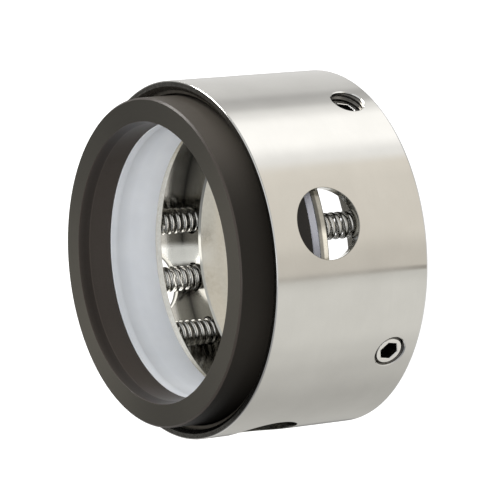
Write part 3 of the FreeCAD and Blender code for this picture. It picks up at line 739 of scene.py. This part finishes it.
# Notches that let the disc's lugs through: the rim ends at their root.
NOTCH = 35.2
cut_in = rounded([(NOTCH, WEDGE_LOW, 0), (NOTCH, rim_top, 0), (SEAT_WIDE - play, rim_top, 0)])
sectors(wedge, rim, cut_in, LUGS, 10.0)
side_walls(wedge, [tuple(p[:2]) for s in rim[:-1] for p in s[: len(s) - 1]] + [tuple(rim[-1][0][:2]), (NOTCH, rim_top)], LUGS, 10.0, -1)
ptfe = piece("wedge_ring_moulded", wedge, [M_PTFE], "seal_head", "white_ptfe", "wedge_ring")

# --------------------------------------------------------------- thrust disc
DISC_LOW, DISC_HIGH, DISC_BORE, DISC_R = 24.1, 26.37, 31.4, 37.0
LUG_IN, LUG_OUT, LUG_TOP = 35.45, 36.9, 31.4
disc = Surface()
inner_part = rounded([(34.0, DISC_HIGH, 0), (DISC_BORE, DISC_HIGH, 0.25), (DISC_BORE, DISC_LOW, 0.25), (34.0, DISC_LOW, 0)])
# Faces with the pin seats: rings between 31.65 and the lug circle.
def disc_face(surface, r0, r1, z, up, mat=0):
    plate, loops = [], []
    for radius in (r0, r1):
        loops.append([len(plate) + i for i in range(ROUND)])
        plate += [(radius * math.cos(i * TAU / ROUND), radius * math.sin(i * TAU / ROUND)) for i in range(ROUND)]
    for a in PIN_ANGLES:
        cx, cy = SPRING_CIRCLE * math.cos(math.radians(a)), SPRING_CIRCLE * math.sin(math.radians(a))
        loops.append([len(plate) + i for i in range(48)])
        plate += [(cx + 1.5 * math.cos(i * TAU / 48), cy + 1.5 * math.sin(i * TAU / 48)) for i in range(48)]
    uv, tri = triangles(plate, loops)
    mid = uv[tri].mean(1)
    far = np.hypot(mid[:, 0], mid[:, 1])
    keep = (far > r0 - 1e-3) & (far < r1)
    for a in PIN_ANGLES:
        cx, cy = SPRING_CIRCLE * math.cos(math.radians(a)), SPRING_CIRCLE * math.sin(math.radians(a))
        keep &= np.hypot(mid[:, 0] - cx, mid[:, 1] - cy) > 1.5
    surface.add(np.column_stack([uv, np.full(len(uv), z)]), np.tile([0, 0, up], (len(uv), 1)), tri[keep], mat)


inner_edge = [s for s in rounded([(34.0, DISC_HIGH, 0), (DISC_BORE, DISC_HIGH, 0.25), (DISC_BORE, DISC_LOW, 0.25), (34.0, DISC_LOW, 0)])][1:-1]
lathe(disc, inner_edge)
disc_face(disc, DISC_BORE + 0.25, LUG_IN, DISC_HIGH, 1.0)
disc_face(disc, DISC_BORE + 0.25, LUG_IN, DISC_LOW, -1.0)
rim = rounded([(LUG_IN, DISC_LOW, 0), (DISC_R, DISC_LOW, 0.25), (DISC_R, DISC_HIGH, 0.25), (LUG_IN, DISC_HIGH, 0)])
up = rounded([(LUG_IN, DISC_LOW, 0), (LUG_OUT, DISC_LOW, 0.15), (LUG_OUT, LUG_TOP, 0.2), (LUG_IN, LUG_TOP, 0.2), (LUG_IN, DISC_HIGH, 0)])
sectors(disc, rim, up, LUGS, 9.0)
side_walls(disc, [(LUG_IN, DISC_HIGH), (LUG_OUT, DISC_HIGH), *[tuple(p[:2]) for s in up[3:-1] for p in s[:-1]], tuple(up[-1][0][:2])], LUGS, 9.0, 1)
for a in PIN_ANGLES:
    a = math.radians(a)
    at = (np.array([SPRING_CIRCLE * math.cos(a), SPRING_CIRCLE * math.sin(a), 0]), *WORLD[1:])
    lathe(disc, rounded([(1.5, DISC_HIGH, 0), (1.5, DISC_LOW, 0)]), count=48, place=at)
steel_disc = piece("thrust_disc_turned", disc, [M_DISC], "seal_head", "turned_steel", "thrust_disc")

# ------------------------------------------------------------------ snap ring
SNAP_IN, SNAP_OUT, SNAP_LOW, SNAP_HIGH = 36.5, 38.25, 36.45, 37.65
outline = [(SNAP_IN, SNAP_LOW, 0.2), (SNAP_OUT, SNAP_LOW, 0.1), (SNAP_OUT, SNAP_HIGH, 0.1), (SNAP_IN, SNAP_HIGH, 0.2)]
snap = Surface()
strips = rounded(outline, closed=True)
lathe(snap, strips, 284, 3.5, 356.5)
loop = [tuple(p[:2]) for s in strips for p in s[:-1]]
for b, s in ((3.5, -1), (356.5, 1)):
    b = math.radians(b)
    n = np.array([-math.sin(b), math.cos(b), 0]) * s
    snap.cap([(r * math.cos(b), r * math.sin(b), z) for r, z in loop], n)
snap_ob = piece("snap_ring_split", snap, [M_SNAP], "retainer", "dark_steel", "snap_ring")

# --------------------------------------------------------------- drive pins
for k, a in enumerate(PIN_ANGLES):
    a = math.radians(a)
    at = (np.array([SPRING_CIRCLE * math.cos(a), SPRING_CIRCLE * math.sin(a), 0]), *WORLD[1:])
    pin = Surface()
    lathe(pin, rounded([(0, 10.2, 0), (1.2, 10.2, 0.1), (1.5, 10.5, 0.15), (1.5, 26.0, 0.15), (1.2, 26.3, 0.1), (0, 26.3, 0)]), count=48, place=at)
    piece("drive_pin_ground_%d" % (k + 1), pin, [M_DISC], "seal_head", "turned_steel", "drive_pin_%d" % (k + 1))

# -------------------------------------------------------------- coil springs
SPRING_LOW, SPRING_HIGH, WIRE, COIL = 11.25, 24.05, 0.5, 2.5


def coil_line(per=44, closed=1.0, ramp=0.35, active=5.5):
    """Angle and height along the wire: closed coils at both ends, open between."""
    total = 2 * (closed + ramp) + active
    n = int(total * per)
    turn = np.linspace(0, total, n + 1)
    near = np.minimum(turn, total - turn)
    share = np.clip((near - closed) / ramp, 0, 1)
    share = share * share * (3 - 2 * share)
    need = SPRING_HIGH - SPRING_LOW - 0.5
    shut = 2 * WIRE * 0.985
    mid = (share[1:] + share[:-1]) / 2
    d = np.diff(turn)
    pitch = (need - (d * (1 - mid) * shut).sum()) / (d * mid).sum()
    step = d * (shut + (pitch - shut) * mid)
    return turn * TAU, SPRING_LOW + 0.25 + np.concatenate([[0], np.cumsum(step)]), pitch


def spring(surface, angle, phase, around=14):
    t, z, pitch = coil_line()
    a = math.radians(angle)
    base = np.array([SPRING_CIRCLE * math.cos(a), SPRING_CIRCLE * math.sin(a), 0])
    er = np.stack([np.cos(t + phase), np.sin(t + phase), np.zeros_like(t)], 1)
    et = np.stack([-np.sin(t + phase) * COIL, np.cos(t + phase) * COIL, np.gradient(z, t)], 1)
    et /= np.linalg.norm(et, axis=1, keepdims=True)
    up = np.cross(er, et)
    line = base + er * COIL + np.outer(z, [0, 0, 1])
    s = np.arange(around) * TAU / around
    no = np.cos(s)[None, :, None] * er[:, None] + np.sin(s)[None, :, None] * up[:, None]
    co = line[:, None] + no * WIRE
    low, high = co[..., 2] < SPRING_LOW, co[..., 2] > SPRING_HIGH
    co[..., 2] = np.clip(co[..., 2], SPRING_LOW, SPRING_HIGH)
    no[low] = (0, 0, -1)
    no[high] = (0, 0, 1)
    surface.grid(co, no, wrap=True)
    surface.cap(co[0], -et[0])
    surface.cap(co[-1], et[-1])
    return pitch


for k, angle in enumerate(SPRING_ANGLES):
    wire = Surface()
    pitch = spring(wire, angle, math.radians(angle + 137.5 * k))
    ob = piece("spring_coil_%02d" % (k + 1), wire, [M_WIRE], "retainer", "spring_steel", "spring_%02d" % (k + 1))
    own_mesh(ob)

# ---------------------------------------------------------------- set screws
DEPTHS = (2.2, 1.2, 1.2, 0.45)
SCREW_LEN, HEX = 6.0, 4.0


def hexagon(flats, fillet=0.12, steps=3):
    """Points and outward normals round a hexagon with rounded corners."""
    apothem = flats / 2
    pts, nos = [], []
    for k in range(6):
        n0, n1 = math.radians(60 * k + 30), math.radians(60 * k + 90)
        corner = np.array([math.cos((n0 + n1) / 2), math.sin((n0 + n1) / 2)]) * (apothem - fillet) / math.cos(math.pi / 6)
        for s in np.linspace(0, 1, steps + 1):
            a = n0 + (n1 - n0) * s
            m = np.array([math.cos(a), math.sin(a)])
            pts.append(corner + m * fillet)
            nos.append(m)
    return np.array(pts), np.array(nos)


for k, depth in enumerate(DEPTHS):
    degrees = 45 + 90 * k
    o, ex, ey, ez = radial_frame(degrees, SCREW_Z)
    foot = SHELL - depth - SCREW_LEN
    at = (o + ez * foot, ex, ey, ez)
    screw = Surface()
    # Cup point, and the start of the thread.
    lathe(screw, rounded([(0, 0.9, 0), (2.0, 0, 0.05), (2.5, 0, 0.1), (3.1, 0.6, 0)]), count=64, place=at)
    thread(screw, at, 3.58, 3.0, 0.6, SCREW_LEN - 0.5, 3.1, 3.38, False, count=64, fade=0.5)
    head = rounded([(3.38, SCREW_LEN - 0.5, 0), (3.05, SCREW_LEN, 0.08), (2.8, SCREW_LEN, 0)])
    lathe(screw, head[:-1], count=64, place=at)
    # End face round the hexagon socket, with the socket's chamfer, walls and floor.
    turn = math.radians(11 + 23 * k)
    spin = np.array([[math.cos(turn), -math.sin(turn)], [math.sin(turn), math.cos(turn)]])
    pts, nos = hexagon(HEX)
    pts, nos = pts @ spin.T, nos @ spin.T
    wide = pts + nos * 0.12
    last = head[-1][0][0]
    ringpts = [(last * math.cos(i * TAU / 64), last * math.sin(i * TAU / 64)) for i in range(64)]
    flatpts = ringpts + [tuple(p) for p in wide]
    uv, tri = triangles(flatpts, [list(range(64)), list(range(64, 64 + len(wide)))])
    mid = uv[tri].mean(1)
    along = np.abs(np.stack([mid @ (spin @ np.array([math.cos(math.radians(b)), math.sin(math.radians(b))])) for b in (30, 90, 150)])).max(0)
    tri = tri[(np.hypot(mid[:, 0], mid[:, 1]) < last) & (along > HEX / 2 + 0.12 - 1e-4)]
    lift = lambda p, h: at[0] + p[:, :1] * ex + p[:, 1:2] * ey + h * ez
    screw.add(lift(uv, SCREW_LEN), np.tile(ez, (len(uv), 1)), tri)
    side = nos[:, :1] * ex + nos[:, 1:2] * ey
    edge = (ez - side) / math.sqrt(2)
    screw.grid([lift(wide, SCREW_LEN), lift(pts, SCREW_LEN - 0.12)], [edge, edge], wrap=True)
    screw.grid([lift(pts, SCREW_LEN - 0.12), lift(pts, SCREW_LEN - 1.5), lift(pts, SCREW_LEN - 3.0)], [-side] * 3, wrap=True, mat=1)
    centre = at[0] + ez * (SCREW_LEN - 3.4)
    cone = np.tile(centre, (len(pts), 1))
    slope = (-side * 0.2 + ez)
    screw.grid([lift(pts, SCREW_LEN - 3.0), cone], [slope, slope], wrap=True, mat=1)
    piece("set_screw_socket_%d" % (k + 1), screw, [M_SCREW, M_SOCKET], "screw_%d" % (k + 1), "screw_steel", "set_screw_%d" % (k + 1))

# --------------------------------------------------------- camera and studio
right = Vector((0.520250, -0.163450, -0.838227))
above = Vector((0.174136, 0.981192, -0.083247))
back = Vector((0.836072, -0.102656, 0.538930))
camera = bpy.data.objects.new("camera", bpy.data.cameras.new("camera"))
scene.collection.objects.link(camera)
camera.data.lens, camera.data.sensor_width = 286.15, 36.0
camera.data.clip_start, camera.data.clip_end = 0.01, 20.0
turn = Matrix((right, above, back)).transposed().to_4x4()
camera.matrix_world = Matrix.Translation((0.73725, -0.08979, 0.49557)) @ turn
scene.camera = camera

scene.view_settings.view_transform = "Standard"

# The floor is a pale light table: it glows a little by itself, so that it stays
# plain and has no hard shadow.
FLOOR_GLOW, FLOOR_PALE = 0.80, 0.35
floor_mesh = bpy.data.meshes.new("floor")
count = 96
floor_mesh.from_pydata([(2.4 * math.cos(i * TAU / count), 2.4 * math.sin(i * TAU / count), -0.00003) for i in range(count)], [], [list(range(count))])
floor = bpy.data.objects.new("floor", floor_mesh)
scene.collection.objects.link(floor)
nt = Nodes("light_table")
nt.set(Base_Color=(FLOOR_PALE, FLOOR_PALE, FLOOR_PALE, 1), Roughness=0.6, Specular_IOR_Level=0.2,
       Emission_Color=(1.0, 1.0, 1.0, 1), Emission_Strength=FLOOR_GLOW)
floor_mesh.materials.append(nt.mat)
floor.visible_diffuse = False

# Reflector cards and flags lie round the seal on the table, out of the camera's
# sight: the polished side shows them as bands along its length. Angles are those
# of the bands on the side, in degrees from the camera's azimuth.
FRONT = math.degrees(math.atan2(back.y, back.x))


def glowing(name):
    """A sheet that shines with the colours of its points."""
    m = bpy.data.materials.new(name)
    m.use_nodes = True
    tree = m.node_tree
    tree.nodes.clear()
    read = tree.nodes.new("ShaderNodeVertexColor")
    read.layer_name = "glow"
    shine = tree.nodes.new("ShaderNodeEmission")
    out = tree.nodes.new("ShaderNodeOutputMaterial")
    tree.links.new(read.outputs["Color"], shine.inputs["Color"])
    tree.links.new(shine.outputs[0], out.inputs["Surface"])
    return m


def bounce(name, azimuth, dark, pale):
    """The light that the table throws back on matt surfaces, stronger on one side."""
    co, glow, faces = [(0, 0, 0.0001)], [[(dark + pale) / 2] * 3 + [1.0]], []
    rings, n = (0.02, 0.04, 0.08, 0.2, 0.6, 2.4), 48
    for r in rings:
        for i in range(n):
            a = i * TAU / n
            co.append((r * math.cos(a), r * math.sin(a), 0.0001))
            w = (1 + math.cos(a - math.radians(FRONT + azimuth))) / 2
            w = 0.5 + (w * w * (3 - 2 * w) - 0.5) * min(1.0, r / 0.08)
            glow.append([dark + (pale - dark) * w] * 3 + [1.0])
    faces += [(0, 1 + i, 1 + (i + 1) % n) for i in range(n)]
    for k in range(len(rings) - 1):
        b = 1 + k * n
        faces += [(b + i, b + n + i, b + n + (i + 1) % n, b + (i + 1) % n) for i in range(n)]
    me = bpy.data.meshes.new(name)
    me.from_pydata(co, [], faces)
    layer = me.color_attributes.new("glow", "FLOAT_COLOR", "POINT")
    layer.data.foreach_set("color", np.array(glow, np.float32).ravel())
    ob = bpy.data.objects.new(name, me)
    scene.collection.objects.link(ob)
    me.materials.append(glowing(name))
    ob.visible_camera = ob.visible_glossy = ob.visible_shadow = ob.visible_transmission = False
    return ob


bounce("bounce", 92, 0.25, 1.35)


FAR = [(-180, 0.34), (-152, 0.60), (-122, 0.86), (-98, 0.56), (-76, 0.24), (-52, 0.52), (-22, 0.86), (8, 0.80), (34, 0.44),
       (58, 0.24), (84, 0.50), (112, 0.86), (140, 0.72), (162, 0.40), (180, 0.34)]


def far_level(x, y):
    """How bright the room lies on the table, away from the seal, towards a point."""
    p = (math.degrees(math.atan2(y, x)) - FRONT + 180) % 360 - 180
    k = max(i for i in range(len(FAR) - 1) if FAR[i][0] <= p)
    (a, la), (b, lb) = FAR[k], FAR[k + 1]
    w = (p - a) / (b - a)
    return la + (lb - la) * w * w * (3 - 2 * w)


def surround(name):
    """The same round about: a ring on the table and a wall at its end, for
    reflections only, so that polished sides stand out from the white ground."""
    n = 180
    rows = [(0.03, 0.00015), (0.1, 0.00015), (0.2, 0.00015), (0.5, 0.00015), (1.2, 0.00015), (2.3, 0.00015), (2.3, 0.25), (2.3, 0.6), (2.3, 1.1)]
    co, glow = [], []
    for k, (r, z) in enumerate(rows):
        for i in range(n):
            x, y = r * math.cos(i * TAU / n), r * math.sin(i * TAU / n)
            co.append((x, y, z))
            v = far_level(x, y)
            v = v + (0.6 - v) * max(0.0, (z - 0.25) / 0.85)
            glow.append([v, v * 0.995, v * 0.98, 1.0])
    faces = [(k * n + i, k * n + n + i, k * n + n + (i + 1) % n, k * n + (i + 1) % n) for k in range(len(rows) - 1) for i in range(n)]
    me = bpy.data.meshes.new(name)
    me.from_pydata(co, [], faces)
    layer = me.color_attributes.new("glow", "FLOAT_COLOR", "POINT")
    layer.data.foreach_set("color", np.array(glow, np.float32).ravel())
    ob = bpy.data.objects.new(name, me)
    scene.collection.objects.link(ob)
    me.materials.append(glowing(name))
    ob.visible_camera = ob.visible_diffuse = ob.visible_shadow = ob.visible_transmission = False
    return ob


surround("surround")


def reflector(name, bands, start=SHELL, near=0.4, reach=66.0, fade=60.0):
    """A sheet of cards edge to edge: bands are (angle, level, tint), blended in
    between, and all of them fade into the room beyond their reach."""
    angles = [b[0] for b in bands]
    phis = sorted(set(np.arange(angles[0], angles[-1] + 0.01, 1.0)) | set(angles))
    co, glow = [], []
    ways = [(near, 1.0), (reach, 1.0), (reach + fade * 0.25, 0.84), (reach + fade * 0.5, 0.5), (reach + fade * 0.75, 0.16), (reach + fade, 0.0)]
    for s, keep in ways:
        for p in phis:
            k = min(len(bands) - 2, max(0, int(np.searchsorted(angles, p, side="right")) - 1))
            (a, la, ta), (b, lb, tb) = bands[k], bands[k + 1]
            w = (p - a) / (b - a)
            w = w * w * (3 - 2 * w)
            n, u = math.radians(FRONT + p), math.radians(FRONT + 2 * p)
            co.append(((start * math.cos(n) + s * math.cos(u)) * MM, (start * math.sin(n) + s * math.sin(u)) * MM, 0.0003))
            light = [la * x + (lb * y - la * x) * w for x, y in zip(ta, tb)]
            rest = far_level(co[-1][0], co[-1][1])
            glow.append([rest + (v - rest) * keep for v in light] + [1.0])
    n = len(phis)
    faces = [(r * n + i, r * n + i + 1, r * n + n + i + 1, r * n + n + i) for r in range(len(ways) - 1) for i in range(n - 1)]
    me = bpy.data.meshes.new(name)
    me.from_pydata(co, [], faces)
    layer = me.color_attributes.new("glow", "FLOAT_COLOR", "POINT")
    layer.data.foreach_set("color", np.array(glow, np.float32).ravel())
    ob = bpy.data.objects.new(name, me)
    scene.collection.objects.link(ob)
    me.materials.append(glowing(name))
    ob.visible_camera = ob.visible_diffuse = ob.visible_shadow = ob.visible_transmission = False
    return ob


COOL, EVEN, WARM, PLAIN = (1.0, 0.99, 0.965), (1.0, 0.985, 0.93), (1.0, 0.945, 0.85), (1.0, 0.99, 0.965)
reflector("reflector", [
    (-89, 0.12, COOL), (-84, 0.28, COOL), (-79, 0.55, EVEN), (-72, 0.60, EVEN), (-56, 0.60, EVEN), (-44, 0.70, EVEN), (-36, 0.81, EVEN), (-29, 0.92, EVEN),
    (-15, 0.93, EVEN), (-10.6, 0.84, EVEN), (-9.9, 0.50, WARM), (-9.3, 0.50, WARM), (-8.7, 0.82, WARM), (-4, 0.82, WARM),
    (3, 0.96, WARM), (19, 0.98, WARM), (25, 1.04, WARM), (29, 1.22, PLAIN), (35.5, 1.60, PLAIN), (44, 1.58, PLAIN),
    (49.5, 1.16, PLAIN), (53, 0.70, PLAIN), (57, 0.62, PLAIN), (61, 0.82, COOL), (66, 0.86, COOL), (76, 0.85, COOL),
    (80, 0.84, PLAIN), (84, 0.72, PLAIN), (89, 0.45, PLAIN),
])

# The same inside the shaft's bore.
reflector("reflector_inside", [
    (-42, 1.10, EVEN), (-20, 1.13, EVEN), (-12, 1.09, EVEN), (-10.0, 1.06, WARM), (-9.4, 0.10, WARM), (-8.5, 0.10, WARM), (-7.9, 1.12, WARM),
    (-5, 1.16, WARM), (-2.5, 1.40, PLAIN), (1, 1.44, PLAIN), (4, 1.20, WARM), (10, 1.14, WARM), (20, 1.27, WARM), (42, 1.27, WARM),
], start=-BORE, reach=23.0, fade=0.5)

# White card in the rear window, so that the collar's face shows the light ground
# behind it. It lies within the wall, where the outside can't show it.
card_mesh = bpy.data.meshes.new("window_card")
card_mesh.from_pydata([(-0.0388, 0.0076 * math.cos(i * TAU / 48), 0.025 + 0.0076 * math.sin(i * TAU / 48)) for i in range(48)], [], [list(range(48))])
layer = card_mesh.color_attributes.new("glow", "FLOAT_COLOR", "POINT")
layer.data.foreach_set("color", np.tile(np.array([2.1, 2.08, 2.0, 1.0], np.float32), 48))
card = bpy.data.objects.new("window_card", card_mesh)
scene.collection.objects.link(card)
card_mesh.materials.append(glowing("window_card"))
card.visible_camera = card.visible_diffuse = card.visible_shadow = card.visible_transmission = False


def lamp(name, azimuth, elevation, distance, size, watts, tint=(1.0, 1.0, 1.0), aim=(0, 0, 0.03)):
    """A soft box. Azimuth is counted from the camera's, seen from above."""
    data = bpy.data.lights.new(name, "AREA")
    data.shape, data.size, data.energy, data.color = "DISK", size, watts, tint
    ob = bpy.data.objects.new(name, data)
    scene.collection.objects.link(ob)
    a, e = math.radians(FRONT + azimuth), math.radians(elevation)
    way = Vector((math.cos(a) * math.cos(e), math.sin(a) * math.cos(e), math.sin(e)))
    ob.location = Vector(aim) + way * distance
    ob.rotation_mode = "QUATERNION"
    ob.rotation_quaternion = (-way).to_track_quat("-Z", "Y")
    ob.visible_camera = False
    return ob


lamp("key", -25, 60, 1.1, 0.40, 10.0, (1.0, 0.985, 0.96)).visible_glossy = False
lamp("glint", -12, 58, 1.1, 0.30, 0.4, (1.0, 0.985, 0.96))
lamp("side", 112, 20, 0.75, 0.36, 5.0, (1.0, 0.98, 0.95))

# Studio room: white at the height of the table, lighter above on one side and
# darker on the other and beyond the seal.
world = bpy.data.worlds.new("studio")
scene.world = world
world.use_nodes = True
tree = world.node_tree
sky = tree.nodes["Background"]
where = tree.nodes.new("ShaderNodeTexCoord").outputs["Generated"]


def toward(azimuth, elevation, low, high, dark, pale):
    """Colour between dark and pale by how far a direction leans to a side."""
    a, e = math.radians(FRONT + azimuth), math.radians(elevation)
    dot = tree.nodes.new("ShaderNodeVectorMath")
    dot.operation = "DOT_PRODUCT"
    tree.links.new(where, dot.inputs[0])
    dot.inputs[1].default_value = (math.cos(a) * math.cos(e), math.sin(a) * math.cos(e), math.sin(e))
    span = tree.nodes.new("ShaderNodeMapRange")
    span.interpolation_type = "SMOOTHSTEP"
    span.inputs["From Min"].default_value, span.inputs["From Max"].default_value = low, high
    tree.links.new(dot.outputs["Value"], span.inputs["Value"])
    blend = tree.nodes.new("ShaderNodeMix")
    blend.data_type = "RGBA"
    tree.links.new(span.outputs["Result"], blend.inputs["Factor"])
    blend.inputs[6].default_value, blend.inputs[7].default_value = (*dark, 1), (*pale, 1)
    return blend


front = toward(0, 25, -0.85, 0.6, (0.13, 0.125, 0.115), (0.60, 0.62, 0.64))
side = toward(85, 20, -0.6, 0.9, (0.55, 0.55, 0.56), (1.7, 1.68, 1.64))
both = tree.nodes.new("ShaderNodeMix")
both.data_type, both.blend_type = "RGBA", "MULTIPLY"
both.inputs["Factor"].default_value = 1.0
tree.links.new(front.outputs[2], both.inputs[6])
tree.links.new(side.outputs[2], both.inputs[7])
horizon = toward(0, 90, 0.03, 0.16, (0.97, 0.97, 0.97), (0.0, 0.0, 0.0))
tree.links.new(both.outputs[2], horizon.inputs[7])
tree.links.new(horizon.outputs[2], sky.inputs["Color"])
sky.inputs["Strength"].default_value = 1.0
